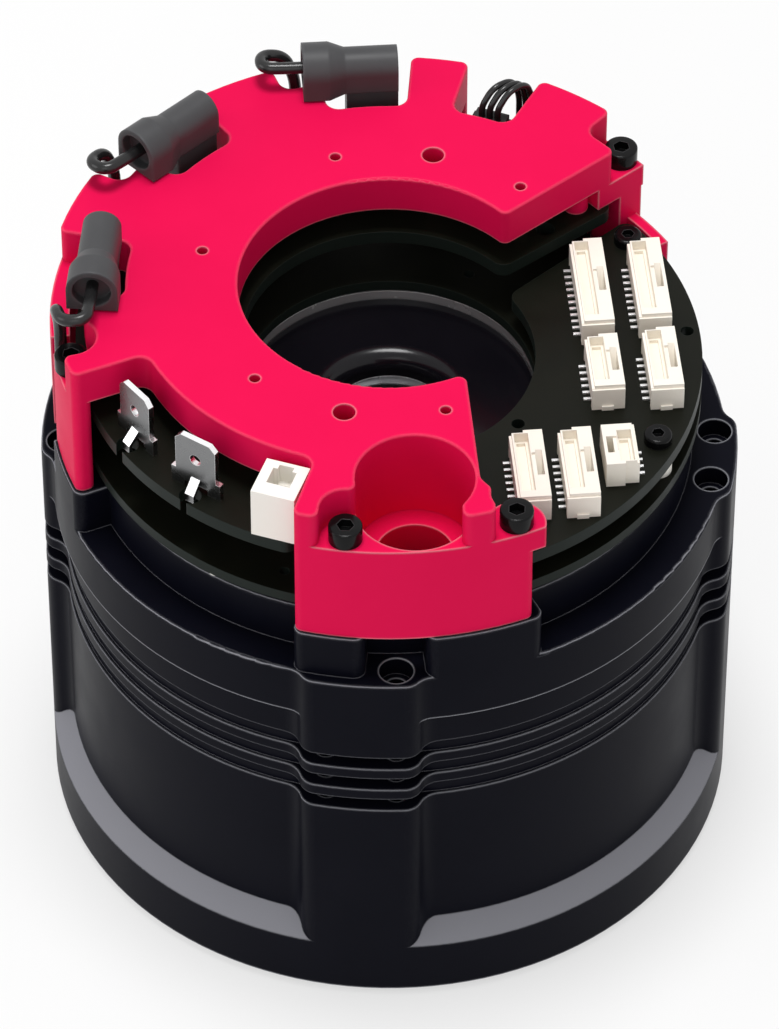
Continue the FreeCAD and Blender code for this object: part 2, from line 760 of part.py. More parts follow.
# ---- power terminals ----
def make_tab():
    """Flat tab terminal standing on the upper board, its face towards +X."""
    half = tab_w / 2
    ear = half + 0.7
    outline = [(-ear, 0), (-1.9, 0), (-1.9, 0.9), (1.9, 0.9), (1.9, 0), (ear, 0), (ear, tab_shoulder_h),
               (half, tab_shoulder_h), (half, tab_h - 0.9), (half - 0.9, tab_h), (-half + 0.9, tab_h),
               (-half, tab_h - 0.9), (-half, tab_shoulder_h), (-ear, tab_shoulder_h)]
    wire = Part.makePolygon([Vector(0, y, z) for y, z in outline + outline[:1]])
    blade = Part.Face(wire).extrude(Vector(tab_t, 0, 0))
    eye = Part.makeCylinder(0.85, 5, Vector(-1, 0, 5.4), Vector(1, 0, 0))
    return moved(blade.cut(eye), -tab_t / 2, 0, high_board_top)


def make_tongue():
    """Foot of a supply tab, bent forward into the board."""
    side = [(0, 2.3), (tab_t / 2, 2.1), (tongue_reach, 0.3), (tongue_reach, -0.9),
            (tongue_reach - 0.5, -0.9), (tongue_reach - 0.5, 0.05), (0, 1.5)]
    wire = Part.makePolygon([Vector(x, -0.7, z) for x, z in side + side[:1]])
    return moved(Part.Face(wire).extrude(Vector(0, 1.4, 0)), 0, 0, high_board_top)


def tongue_places():
    """Foot of each supply tab and the way its face looks."""
    return [(polar(r, deg), polar(1, way)) for r, deg, way in supply_tabs]


def make_supply_tabs():
    tab = make_tab().fuse(make_tongue()).removeSplitter()
    tabs = []
    for r, deg, way in supply_tabs:
        p = polar(r, deg)
        tabs.append(moved(turned(tab, way), p.x, p.y, 0))
    return on_drive(group(tabs))


def make_phase_tabs():
    return on_drive(group([turned(moved(make_tab(), axis_r, tab_side, 0), a) for a, axis_r in boots]))


def arch_wire(half_w, height, s):
    """Arch section across the boot at station s: half round on straight sides."""
    top = boot_z
    foot_z = top - (height - half_w)
    a = Vector(-half_w, s, foot_z)
    b = Vector(-half_w, s, top)
    c = Vector(0, s, top + half_w)
    d = Vector(half_w, s, top)
    e = Vector(half_w, s, foot_z)
    arch = Part.Arc(b, c, d).toShape()
    return Part.Wire([Part.makeLine(a, b), arch, Part.makeLine(d, e), Part.makeLine(e, a)])


def make_boot(a, axis_r):
    half = boot_w / 2
    end = boot_start - boot_long
    neck = boot_start - boot_wide - boot_taper
    tube_h = boot_h - 1.2
    wide = Part.Face(arch_wire(half, boot_h, boot_start - boot_wide)).extrude(Vector(0, boot_wide, 0))
    taper = Part.makeLoft([arch_wire(half, boot_h, boot_start - boot_wide),
                           arch_wire(boot_tube_r, tube_h, neck)], True, True)
    tube = Part.Face(arch_wire(boot_tube_r, tube_h, end)).extrude(Vector(0, neck - end, 0))
    skirt = box(-2.1, 2.1, end, neck - 0.2, high_board_top + 3.0, boot_z)
    shape = fuse([wide, taper, tube, skirt])
    mouth = Part.makeCylinder(boot_mouth_r, 1.6, Vector(0, boot_start - 1.5, boot_z), Vector(0, 1, 0))
    blade_slot = box(-tab_t / 2 - fit_gap, tab_t / 2 + fit_gap, tab_side - tab_w / 2 - fit_gap,
                     tab_side + tab_w / 2 + fit_gap, high_board_top, high_board_top + tab_h + fit_gap)
    shape = shape.cut([mouth, blade_slot])
    return turned(moved(shape, axis_r, 0, 0), a)


# ---- leads ----
def tube_path(points, radius, name):
    """Round tube along straight runs joined by tangent arcs."""
    pieces = []
    radii = []
    length = 0.0
    start = points[0]
    for i in range(1, len(points) - 1):
        corner = points[i]
        back = (points[i - 1] - corner).normalize()
        ahead = (points[i + 1] - corner).normalize()
        turn = math.pi - back.getAngle(ahead)
        reach = 0.45 * min((points[i - 1] - corner).Length, (points[i + 1] - corner).Length)
        bend = reach / math.tan(turn / 2)
        a = corner + back * reach
        centre = corner + (back + ahead).normalize() * (bend / math.cos(turn / 2))
        pieces.append(Part.makeCylinder(radius, (a - start).Length, start, a - start))
        section = Part.Face(Part.Wire([Part.makeCircle(radius, a, back)]))
        pieces.append(section.revolve(centre, ahead.cross(back), math.degrees(turn)))
        length += (a - start).Length + bend * turn
        radii.append(round(bend, 2))
        start = corner + ahead * reach
    pieces.append(Part.makeCylinder(radius, (points[-1] - start).Length, start, points[-1] - start))
    length += (points[-1] - start).Length
    shape = pieces[0].fuse(pieces[1:])
    ratio = shape.Volume / (math.pi * radius ** 2 * length)
    print(name, "length", round(length, 1), "radii", radii, "volume ratio", round(ratio, 4))
    return shape


def lead_points(axis_r):
    """Phase lead on the boot's own axes: out, along the boot, up."""
    drop = math.radians(lead_drop_deg())
    r = math.hypot(lead_side, lead_out)
    low = rim_z + 3.0
    inside = Vector(lead_hole_r * math.cos(drop), lead_hole_r * math.sin(drop), low)
    return [
        Vector(axis_r, boot_start - 1.5, boot_z),
        Vector(axis_r, boot_start + 2.0, boot_z),
        Vector(axis_r + 0.1, boot_start + 5.5, boot_z + 0.1),
        Vector(axis_r + 3.3, boot_start + 5.6, boot_z - 0.3),
        Vector(lead_out + 0.3, boot_start + 2.3, boot_z - 0.9),
        Vector(lead_out, lead_side, boot_z - 4.9),
        Vector(r * math.cos(drop), r * math.sin(drop), low),
        inside,
        Vector(inside.x, inside.y, shield_z - 0.5)]


def make_leads():
    return on_drive(group([turned(tube_path(lead_points(r), lead_r, "phase lead"), a) for a, r in boots]))


def sensor_points(offset):
    plug = polar(sensor_plug_r, sensor_plug_deg)
    drop = polar(sensor_drop_r, sensor_drop_deg)
    side = polar(1, sensor_plug_deg + 90)
    low = rim_z + 2.6
    inside = polar(lead_hole_r + 0.5, sensor_drop_deg)
    top = cover_top + 0.9
    shift = side * offset
    half = side * (offset * 0.85)
    return [
        Vector(plug.x, plug.y, sensor_plug_z - 0.2) + shift,
        Vector(plug.x, plug.y, sensor_plug_z + 1.8) + shift,
        Vector(plug.x * 0.7 + drop.x * 0.3, plug.y * 0.7 + drop.y * 0.3, top + 0.2) + shift,
        Vector(plug.x * 0.2 + drop.x * 0.8, plug.y * 0.2 + drop.y * 0.8, top) + half,
        Vector(drop.x, drop.y, top - 3.4) + half,
        Vector(drop.x, drop.y, low) + half,
        Vector(inside.x, inside.y, low) + half,
        Vector(inside.x, inside.y, shield_z + shield_t + 0.2) + half]


def make_sensor_leads():
    leads = [tube_path(sensor_points(o), sensor_lead_r, "sensor lead") for o in sensor_offsets]
    return on_drive(group(leads))


def make_sensor_plug():
    """Latching plug: body, a raised lip at each end and a latch bar at the back."""
    top = sensor_plug_z
    body = box(-1.6, 1.6, -2.3, 2.3, high_board_top + 1.2, top)
    lips = [box(-1.6, 1.6, s * 2.3 - 0.45, s * 2.3 + 0.45, high_board_top + 2.5, top - 0.8) for s in (-1, 1)]
    latch = box(-2.3, -1.5, -1.3, 1.3, high_board_top + 1.6, top - 0.4)
    holes = [disc(sensor_lead_r, top - 0.3, top + 1, 0, o) for o in sensor_offsets]
    shape = turned(fuse([body, latch] + lips).cut(holes), sensor_plug_deg)
    p = polar(sensor_plug_r, sensor_plug_deg)
    return on_drive(moved(shape, p.x, p.y, 0))


def make_sensor_header():
    shape = turned(box(-2.4, 2.1, -3.0, 3.0, high_board_top, high_board_top + 1.2), sensor_plug_deg)
    p = polar(sensor_plug_r, sensor_plug_deg)
    return on_drive(moved(shape, p.x, p.y, 0))


def make_brake_header():
    """Two-way white header beside the front leg."""
    shape = box(-3.0, 3.0, -3.2, 3.2, 0, 7.9)
    shape = shape.cut([box(-1.6, 1.6, -1.0, 1.8, 2.5, 9), box(-1.0, 1.0, 1.0, 2.6, 5.0, 9)])
    p = polar(board_r - 3.2, -116.4)
    return on_drive(moved(turned(shape, -24.0), p.x, p.y, high_board_top))


# ---- gear and output ----
def make_output_flange():
    shape = revolve([
        (tube_r, 0), (flange_r - 0.3, 0), (flange_r, 0.3), (flange_r, race_z - 0.1), (flange_r, race_z),
        (hub_r, race_z), (hub_r, race_z + race_h), (tube_r, race_z + race_h)])
    tools = []
    for i in range(flange_bolt_count):
        p = polar(flange_bolt_r, 360 / flange_bolt_count * (i + 0.5))
        tools.append(disc(flange_bolt_hole_r, -1, 8, p.x, p.y))
    for p in cup_screw_places():
        tools.append(disc(small_screw_r, race_z + race_h - small_depth, race_z + race_h + 1, p.x, p.y))
    return shape.cut(tools)


def cup_screw_places():
    return [polar(cup_screw_circle_r, 60 * i) for i in range(6)]


def v_groove(side):
    half = roller_d / 2 + 0.03
    tip = half * math.sqrt(2)
    mid = race_z + race_h / 2
    edge = race_mid_r + side * race_gap / 2
    return revolve([(edge, mid + tip), (race_mid_r + side * tip, mid), (edge, mid - tip),
                    (edge - side * 2, mid - tip), (edge - side * 2, mid + tip)])


def make_race_inner():
    shape = ring(hub_r, race_mid_r - race_gap / 2, race_z, race_z + race_h)
    return shape.cut(v_groove(-1))


def make_race_outer():
    shape = ring(race_mid_r + race_gap / 2, gear_bore_r, race_z, race_z + race_h)
    return shape.cut(v_groove(1))


def make_rollers():
    mid = race_z + race_h / 2
    length = roller_d - 0.1
    rollers = []
    for i in range(roller_count):
        tilt = 45 if i % 2 == 0 else -45
        axis = Vector(math.cos(math.radians(tilt)), 0, math.sin(math.radians(tilt)))
        start = Vector(race_mid_r, 0, mid) - axis * (length / 2)
        rollers.append(turned(Part.makeCylinder(roller_d / 2, length, start, axis), 360 / roller_count * i))
    return group(rollers)


def make_cup():
    base = race_z + race_h
    shape = revolve([
        (tube_r + 1.5, base), (boss_r, base), (boss_r, base + boss_t - cup_wall),
        (cup_r - 1, base + boss_t - cup_wall),
        (cup_r, base + boss_t + 0.5), (cup_r, spline_z - 0.5), (tooth_band_r, spline_z),
        (tooth_band_r, web_z - 0.8), (cup_r - cup_wall, web_z - 0.8), (cup_r - cup_wall, base + boss_t + 0.8),
        (cup_r - 1.2, base + boss_t), (tube_r + 1.5, base + boss_t)])
    holes = [disc(small_clear_r, base - 1, base + boss_t + 1, p.x, p.y) for p in cup_screw_places()]
    return shape.cut(holes)


def make_clamp_nut():
    base = race_z + race_h
    return ring(boss_r + 0.2, race_mid_r - race_gap / 2 - 1.0, base, base + 1.4)


def make_spline():
    shape = ring(spline_in_r, gear_bore_r, spline_z, web_z)
    places = spline_screw_places()
    holes = [disc(small_clear_r, spline_z - 1, web_z + 1, p.x, p.y) for p in places]
    pockets = [disc(small_head_r + 0.1, spline_z - 1, spline_z + 1.5, p.x, p.y) for p in places]
    return shape.cut(holes + pockets)


def spline_screw_places():
    return [polar(spline_screw_circle_r, 45 * i + 10) for i in range(8)]


def ellipse_prism(a, b, z0, z1):
    curve = Part.Ellipse(Vector(0, 0, z0), a, b)
    return Part.Face(Part.Wire([curve.toShape()])).extrude(Vector(0, 0, z1 - z0))


def make_wave_bearing():
    outer = ellipse_prism(wave_major_r, wave_minor_r, wave_z, wave_z + wave_h)
    major, minor = wave_major_r - wave_race_t, wave_minor_r - wave_race_t
    inner = ellipse_prism(major, minor, wave_z - 1, wave_z + wave_h + 1)
    return outer.cut(inner)


def make_wave_plug():
    seat = wave_race_t + fit_gap
    plug = ellipse_prism(wave_major_r - seat, wave_minor_r - seat, wave_z, wave_z + wave_h)
    boss = disc(wave_boss_r, wave_z - wave_drop, web_z - 0.5)
    return plug.fuse(boss).removeSplitter().cut(disc(shaft_r, wave_z - 2, web_z + 1))


def make_cable_tube():
    return ring(tube_bore_r, tube_r, 0.5, tube_top_z)


# ---- motor ----
def make_shaft():
    ring_low = upper_bearing_z + bearing_h
    shape = revolve([
        (shaft_bore_r, wave_z - wave_drop), (shaft_r, wave_z - wave_drop),
        (shaft_r, spider_z), (yoke_in_r, spider_z),
        (yoke_in_r, spider_z + spider_t), (shaft_r + 2.0, spider_z + spider_t),
        (shaft_r + 2.0, upper_bearing_z),
        (shaft_r, upper_bearing_z), (shaft_r, shaft_top), (shaft_bore_r, shaft_top)])
    return shape.cut(ring(clip_groove_r, shaft_r + 1, ring_low, ring_low + clip_t))


def make_retaining_ring():
    low = upper_bearing_z + bearing_h
    shape = ring(clip_groove_r + fit_gap, clip_out_r, low, low + clip_t)
    return shape.cut(box(0, clip_out_r + 1, -2.0, 2.0, low - 1, low + 2))


def make_encoder_hub():
    top = dish_top_z
    low = top - dish_t
    shape = revolve([
        (shaft_bore_r, shaft_top), (shaft_r, shaft_top), (shaft_r, low - hub_skirt),
        (shaft_r + 2.6, low - hub_skirt),
        (shaft_r + 2.6, low), (ring_out_r, low), (ring_out_r, low + 1.2), (dish_r, low + 1.2),
        (dish_r, top - 0.15), (dish_r - 0.15, top), (shaft_bore_r, top)])
    rims = [e for e in shape.Edges if len(e.Vertexes) == 1 and abs(e.Vertexes[0].Z - top) < 1e-6
            and math.hypot(e.Vertexes[0].X, e.Vertexes[0].Y) < shaft_bore_r + 0.1]
    return shape.makeFillet(dish_round, rims)


def make_encoder_ring():
    return ring(dish_r, ring_out_r, dish_top_z - dish_t + 1.2, ring_top_z)


def make_yoke():
    return ring(yoke_in_r, magnet_in_r, stator_z - 1, stator_z + stator_h)


def make_magnets():
    span = 360 / magnet_count
    top = stator_z + stator_h
    block = sector(magnet_in_r + glue_gap, magnet_out_r, 1.0, span - 1.0, stator_z, top)
    return group([turned(block, span * i) for i in range(magnet_count)])


def make_stator():
    z0, z1 = stator_z, stator_z + stator_h
    bore = magnet_out_r + air_gap
    shape = ring(motor_bore_r - back_iron, motor_bore_r - glue_gap, z0, z1)
    tooth = box(bore - 1, motor_bore_r - back_iron + 0.5, -tooth_w / 2, tooth_w / 2, z0, z1)
    half_tip = 180 / slot_count - 1.4
    tip = sector(bore - 1, bore + 1.4, -half_tip, half_tip, z0, z1)
    parts = [shape]
    for i in range(slot_count):
        parts.append(turned(tooth, 360 / slot_count * i))
        parts.append(turned(tip, 360 / slot_count * i))
    return fuse(parts).cut(disc(bore, z0 - 1, z1 + 1))


def make_windings():
    """One coil round each stator tooth."""
    r0 = magnet_out_r + air_gap + 1.5
    inner = tooth_w / 2
    outer = inner + coil_w
    r1 = math.sqrt((motor_bore_r - back_iron) ** 2 - outer ** 2) - 0.05
    coil = box(r0, r1, -outer, outer, stator_z - coil_over, stator_z + stator_h + coil_over)
    edges = [e for e in coil.Edges if abs(e.Vertexes[0].X - e.Vertexes[1].X) > 1]
    coil = coil.makeFillet(1.0, edges)
    coil = coil.cut(box(r0 - 1, r1 + 1, -inner, inner, stator_z, stator_z + stator_h))
    return group([turned(coil, 360 / slot_count * i) for i in range(slot_count)])


def make_shield():
    z0 = shield_z
    top = upper_bearing_z + bearing_h
    shape = revolve([
        (shaft_r + 3.5, z0), (neck_bore_r - fit_gap, z0), (neck_bore_r - fit_gap, z0 + shield_t),
        (bearing_r + 2.5, z0 + shield_t),
        (bearing_r + 2.5, top), (bearing_r, top), (bearing_r, upper_bearing_z),
        (shaft_r + 3.5, upper_bearing_z)])
    tools = []
    for deg in lead_angles()[:3]:
        p = polar(lead_hole_r, deg)
        tools.append(disc(lead_r + 0.3, z0 - 1, z0 + shield_t + 1, p.x, p.y))
    return shape.cut(tools)


def make_shield_ring():
    """Snap ring in a groove of the housing neck, above the bearing shield."""
    low = shield_z + shield_t
    shape = ring(neck_bore_r - snap_w, neck_bore_r + snap_depth - fit_gap, low, low + snap_t)
    return shape.cut(box(0, body_r, -5.0, 5.0, low - 1, low + snap_t + 1))


def bearing_outer(z):
    return ring(bearing_split_r + bearing_split_gap / 2, bearing_r, z, z + bearing_h)


def bearing_inner(z):
    return ring(shaft_r, bearing_split_r - bearing_split_gap / 2, z, z + bearing_h)


def make_retainer():
    shape = ring(flange_r + 0.7, retainer_r - fit_gap, foot, race_z)
    holes = [disc(small_clear_r, foot - 1, race_z + 1, p.x, p.y) for p in retainer_screw_places()]
    pockets = [disc(small_head_r + 0.1, foot - 1, foot + 0.7, p.x, p.y) for p in retainer_screw_places()]
    return shape.cut(holes + pockets)


def retainer_screw_places():
    return [polar(retainer_screw_circle_r, 45 * i + 22.5) for i in range(8)]


def small_screw(p, z, length, up):
    """M2 screw, low head: the shank goes up or down from the head seat at z."""
    head = disc(small_head_r, 0, small_head_h)
    shank = disc(small_screw_r - fit_gap, -length, 0)
    socket = slab(hexagon(small_hex), small_head_h - small_hex_depth, small_head_h + 1)
    shape = head.fuse(shank).removeSplitter().cut(socket)
    if up:
        shape.rotate(Vector(0, 0, 0), Vector(1, 0, 0), 180)
    return moved(shape, p.x, p.y, z)


def make_output_seal():
    return ring(flange_r + seal_gap, flange_r + 0.7, foot + 0.1, race_z)


def make_rotor_seal():
    return ring(shaft_r + seal_gap, seal_r, web_z + 0.2, lower_bearing_z)


def make_read_head():
    """Encoder reader under the lowest board, just above the encoder ring."""
    z1 = low_board_top - low_board_t
    return turned(box(dish_r - 0.2, ring_out_r + 2.0, -3.0, 3.0, ring_top_z + 0.25, z1), 60.0)


save("housing", make_housing())
save("cover_screws", group([socket_screw(p, plate_z, cover_screw_length) for p in cover_screw_places()]))
save("drive_cover", on_drive(make_cover()))
save("upper_board", on_drive(make_high_board()))
save("connector_board", on_drive(make_mid_board()))
save("encoder_board", on_drive(make_low_board()))
save("board_spacers", on_drive(make_board_spacers()))
save("board_screws", on_drive(group([board_screw(polar(board_post_r, d), mid_board_top) for d in mid_posts])))
all_pins = []
for name, pins, across, along, pins_left in connectors:
    save(name, placed_on_board(make_shell(pins), across, along, pins_left))
    all_pins += [placed_on_board(pin, across, along, pins_left) for pin in make_pins(pins)]
save("connector_pins", group(all_pins))
save("supply_tabs", make_supply_tabs())
save("phase_tabs", make_phase_tabs())
save("terminal_boots", on_drive(group([make_boot(a, r) for a, r in boots])))
save("phase_leads", make_leads())
save("sensor_plug", make_sensor_plug())
save("sensor_header", make_sensor_header())
save("sensor_leads", make_sensor_leads())
save("brake_header", make_brake_header())
save("output_flange", make_output_flange())
save("output_bearing_inner_ring", make_race_inner())
save("output_bearing_outer_ring", make_race_outer())
save("output_bearing_rollers", make_rollers())
save("output_bearing_retainer", make_retainer())
save("flexspline", make_cup())
save("clamp_nut", make_clamp_nut())
save("circular_spline", make_spline())
save("wave_bearing", make_wave_bearing())
save("wave_generator_plug", make_wave_plug())
save("cable_tube", make_cable_tube())
save("rotor_shaft", make_shaft())
save("encoder_hub", make_encoder_hub())
save("encoder_ring", make_encoder_ring())
save("rotor_yoke", make_yoke())
save("rotor_magnets", make_magnets())
save("stator_core", make_stator())
save("stator_windings", make_windings())
save("bearing_shield", make_shield())
save("upper_bearing_outer_ring", bearing_outer(upper_bearing_z))
save("upper_bearing_inner_ring", bearing_inner(upper_bearing_z))
save("lower_bearing_outer_ring", bearing_outer(lower_bearing_z))
save("lower_bearing_inner_ring", bearing_inner(lower_bearing_z))
save("shaft_retaining_ring", make_retaining_ring())
save("output_seal", make_output_seal())
save("rotor_seal", make_rotor_seal())
save("encoder_read_head", on_drive(make_read_head()))
save("retainer_screws", group([small_screw(p, foot + 0.7, 5.0, True) for p in retainer_screw_places()]))
spline_screw_length = web_z + 2.0 - spline_z - 1.5
save("spline_screws", group([
    small_screw(p, spline_z + 1.5, spline_screw_length, True) for p in spline_screw_places()]))
cup_screw_z = race_z + race_h + boss_t
save("flexspline_screws", group([small_screw(p, cup_screw_z, 7.0, False) for p in cup_screw_places()]))
save("shield_snap_ring", make_shield_ring())
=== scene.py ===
import bpy
import bmesh
import math
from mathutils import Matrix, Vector


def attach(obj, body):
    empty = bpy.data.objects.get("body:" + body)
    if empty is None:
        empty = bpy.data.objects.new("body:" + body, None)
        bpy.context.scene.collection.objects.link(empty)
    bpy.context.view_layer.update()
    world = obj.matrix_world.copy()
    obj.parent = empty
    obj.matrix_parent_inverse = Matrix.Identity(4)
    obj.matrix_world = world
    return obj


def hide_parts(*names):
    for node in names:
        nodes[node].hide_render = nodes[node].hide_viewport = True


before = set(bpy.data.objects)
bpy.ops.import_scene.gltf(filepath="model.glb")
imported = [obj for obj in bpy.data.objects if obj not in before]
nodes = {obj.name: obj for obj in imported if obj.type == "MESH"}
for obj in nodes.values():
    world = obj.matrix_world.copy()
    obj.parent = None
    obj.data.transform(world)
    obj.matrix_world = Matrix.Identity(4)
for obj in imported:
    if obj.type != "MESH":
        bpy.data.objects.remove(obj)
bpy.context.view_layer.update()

print("frame loaded:", len(nodes), "nodes")

# The camera stands in front, a little to the right, and looks down at the middle of the body.
cameraSetup = {
    "azimuthDeg": 4.9,
    "elevationDeg": 45.0,
    "distance": 0.953,
    "aimHeight": 0.04577,
    "lens": 241.6,
    "clipNear": 0.01,
    "clipFar": 20,
}


def makeCamera(setup):
    azimuth = math.radians(setup["azimuthDeg"])
    elevation = math.radians(setup["elevationDeg"])
    back = Vector((math.sin(azimuth) * math.cos(elevation), -math.cos(azimuth) * math.cos(elevation),
                   math.sin(elevation)))
    camera = bpy.data.objects.new("camera", bpy.data.cameras.new("camera"))
    camera.data.lens = setup["lens"]
    camera.data.clip_start = setup["clipNear"]
    camera.data.clip_end = setup["clipFar"]
    camera.location = Vector((0, 0, setup["aimHeight"])) + back * setup["distance"]
    camera.rotation_mode = "QUATERNION"
    camera.rotation_quaternion = (-back).to_track_quat("-Z", "Y")
    bpy.context.scene.collection.objects.link(camera)
    bpy.context.scene.camera = camera


makeCamera(cameraSetup)
print("camera placed")


# Small helpers for node trees.
def addSocket(tree, name, direction, kind, value=None):
    socket = tree.interface.new_socket(name=name, in_out=direction, socket_type=kind)
    if value is not None:
        socket.default_value = value


def feed(tree, socket, value):   # a link where the value is a socket, else a fixed value
    if isinstance(value, bpy.types.NodeSocket):
        tree.links.new(value, socket)
    elif isinstance(value, tuple) and len(value) == 3 and socket.type == "RGBA":
        socket.default_value = (*value, 1.0)
    else:
        socket.default_value = value


def addNode(tree, kind, settings=None, **values):
    node = tree.nodes.new(kind)
    for name, value in (settings or {}).items():
        setattr(node, name, value)
    for name, value in values.items():
        feed(tree, node.inputs[name.replace("_", " ")], value)
    return node


def calc(tree, operation, a, b=0.0):
    node = tree.nodes.new("ShaderNodeMath")
    node.operation = operation
    feed(tree, node.inputs[0], a)
    feed(tree, node.inputs[1], b)
    return node.outputs[0]


def remap(tree, value, low, high, toLow=0.0, toHigh=1.0):
    return addNode(tree, "ShaderNodeMapRange", None, Value=value, From_Min=low, From_Max=high,
                   To_Min=toLow, To_Max=toHigh).outputs["Result"]


def mixColour(tree, factor, a, b):
    return addNode(tree, "ShaderNodeMix", {"data_type": "RGBA"}, Factor=factor, A=a, B=b).outputs["Result"]


def upwardPart(tree, direction):
    return addNode(tree, "ShaderNodeSeparateXYZ", None, Vector=direction).outputs["Z"]


def objectPlace(tree):
    return tree.nodes.new("ShaderNodeTexCoord").outputs["Object"]


def newGroup(name, inputs, outputs):
    group = bpy.data.node_groups.new(name, "ShaderNodeTree")
    for label, value in inputs.items():
        addSocket(group, label, "INPUT", "NodeSocketVector" if value is None else "NodeSocketFloat", value)
    for label, kind in outputs.items():
        addSocket(group, label, "OUTPUT", kind)
    return group, group.nodes.new("NodeGroupInput").outputs, group.nodes.new("NodeGroupOutput").inputs


def placeGroup(tree, group, values):
    node = tree.nodes.new("ShaderNodeGroup")
    node.node_tree = group
    for name, value in values.items():
        feed(tree, node.inputs[name], value)
    return node.outputs


# Samples, mask limits and waver inside the shader groups.
groupSetup = {
    "bevelSamples": 6,
    "edgeSamples": 8,
    "edgeMask": (0.95, 0.45),   # openness under the surface: away from edges, and at one
    "mottleMask": (0.35, 0.65),
    "waverScale": 0.37,   # how soon the strength of the tool lines changes
}


# Soft edges: rounds the normal at every edge and marks the convex ones, where the finishes paint a highlight.
def buildSoftEdges():
    group, given, out = newGroup("softEdges", {"Round": 0.0003, "Reach": 0.0003},
                                 {"Normal": "NodeSocketVector", "Edge": "NodeSocketFloat"})
    bevel = addNode(group, "ShaderNodeBevel", {"samples": groupSetup["bevelSamples"]}, Radius=given["Round"])
    insideOnly = {"inside": True, "only_local": True, "samples": groupSetup["edgeSamples"]}
    inside = addNode(group, "ShaderNodeAmbientOcclusion", insideOnly, Distance=given["Reach"])
    feed(group, out["Normal"], bevel.outputs["Normal"])
    feed(group, out["Edge"], remap(group, inside.outputs["AO"], *groupSetup["edgeMask"]))
    return group


# Fine grain of a blasted, moulded or plated surface.
def buildFineGrain():
    group, given, out = newGroup("fineGrain", {"Normal": None, "Scale": 4000.0, "Depth": 0.000004},
                                 {"Normal": "NodeSocketVector"})
    noise = addNode(group, "ShaderNodeTexNoise", None, Vector=objectPlace(group), Scale=given["Scale"],
                    Detail=3.0)
    bump = addNode(group, "ShaderNodeBump", None, Strength=1.0, Distance=given["Depth"],
                   Height=noise.outputs["Fac"], Normal=given["Normal"])
    feed(group, out["Normal"], bump.outputs["Normal"])
    return group


# Slow variation over a surface: a mask for the colour and a value for the gloss.
def buildSlowMottle():
    group, given, out = newGroup("slowMottle", {"Scale": 150.0, "Low": 0.0, "High": 1.0},
                                 {"Value": "NodeSocketFloat", "Mask": "NodeSocketFloat"})
    noise = addNode(group, "ShaderNodeTexNoise", None, Vector=objectPlace(group), Scale=given["Scale"],
                    Detail=4.0, Roughness=0.6)
    mask = remap(group, noise.outputs["Fac"], *groupSetup["mottleMask"])
    feed(group, out["Mask"], mask)
    feed(group, out["Value"], remap(group, mask, 0.0, 1.0, given["Low"], given["High"]))
    return group


# Lines left by a lathe or a brush, or the layers of a stack: rings round Z, or bands along X, Y or Z.
def buildToolLines():
    group, given, out = newGroup(
        "toolLines",
        {"Normal": None, "Lines Per Metre": 4000.0, "Depth": 0.000002, "Waver": 0.4, "Rings": 1.0,
         "Along X": 0.0, "Along Y": 0.0, "Along Z": 0.0},
        {"Normal": "NodeSocketVector", "Lines": "NodeSocketFloat"})
    parts = addNode(group, "ShaderNodeSeparateXYZ", None, Vector=objectPlace(group)).outputs
    squares = [calc(group, "MULTIPLY", parts[axis], parts[axis]) for axis in "XY"]
    fromAxis = calc(group, "SQRT", calc(group, "ADD", *squares))
    way = calc(group, "MULTIPLY", fromAxis, given["Rings"])
    for axis in "XYZ":
        way = calc(group, "ADD", way, calc(group, "MULTIPLY", parts[axis], given["Along " + axis]))
    turns = calc(group, "MULTIPLY", way, given["Lines Per Metre"])
    waver = addNode(group, "ShaderNodeTexNoise", {"noise_dimensions": "1D"}, W=turns,
                    Scale=groupSetup["waverScale"], Detail=2.0)
    wave = calc(group, "SINE", calc(group, "MULTIPLY", turns, 2 * math.pi))
    lines = addNode(group, "ShaderNodeMix", None, Factor=given["Waver"], A=remap(group, wave, -1.0, 1.0),
                    B=waver.outputs["Fac"]).outputs["Result"]
    bump = addNode(group, "ShaderNodeBump", None, Strength=1.0, Distance=given["Depth"], Height=lines,
                   Normal=given["Normal"])
    feed(group, out["Normal"], bump.outputs["Normal"])
    feed(group, out["Lines"], lines)
    return group


softEdges = buildSoftEdges()
fineGrain = buildFineGrain()
slowMottle = buildSlowMottle()
toolLines = buildToolLines()
print("shader groups built")

# What a finish has where its own look doesn't say.
plainLook = {"edgeAmount": 1.0, "metallic": 0.0, "specular": 0.3, "coat": 0.0, "coatRoughness": 0.1}

# Where the masks start and are full, on a scale of 0 for an upright face and 1 for one that faces up.
facingSetup = {
    "slantFromBelow": (0.50, 0.62),
    "slantFromAbove": (0.86, 0.74),
    "top": (0.3, 0.5),
    "side": (0.6, 0.4),
}
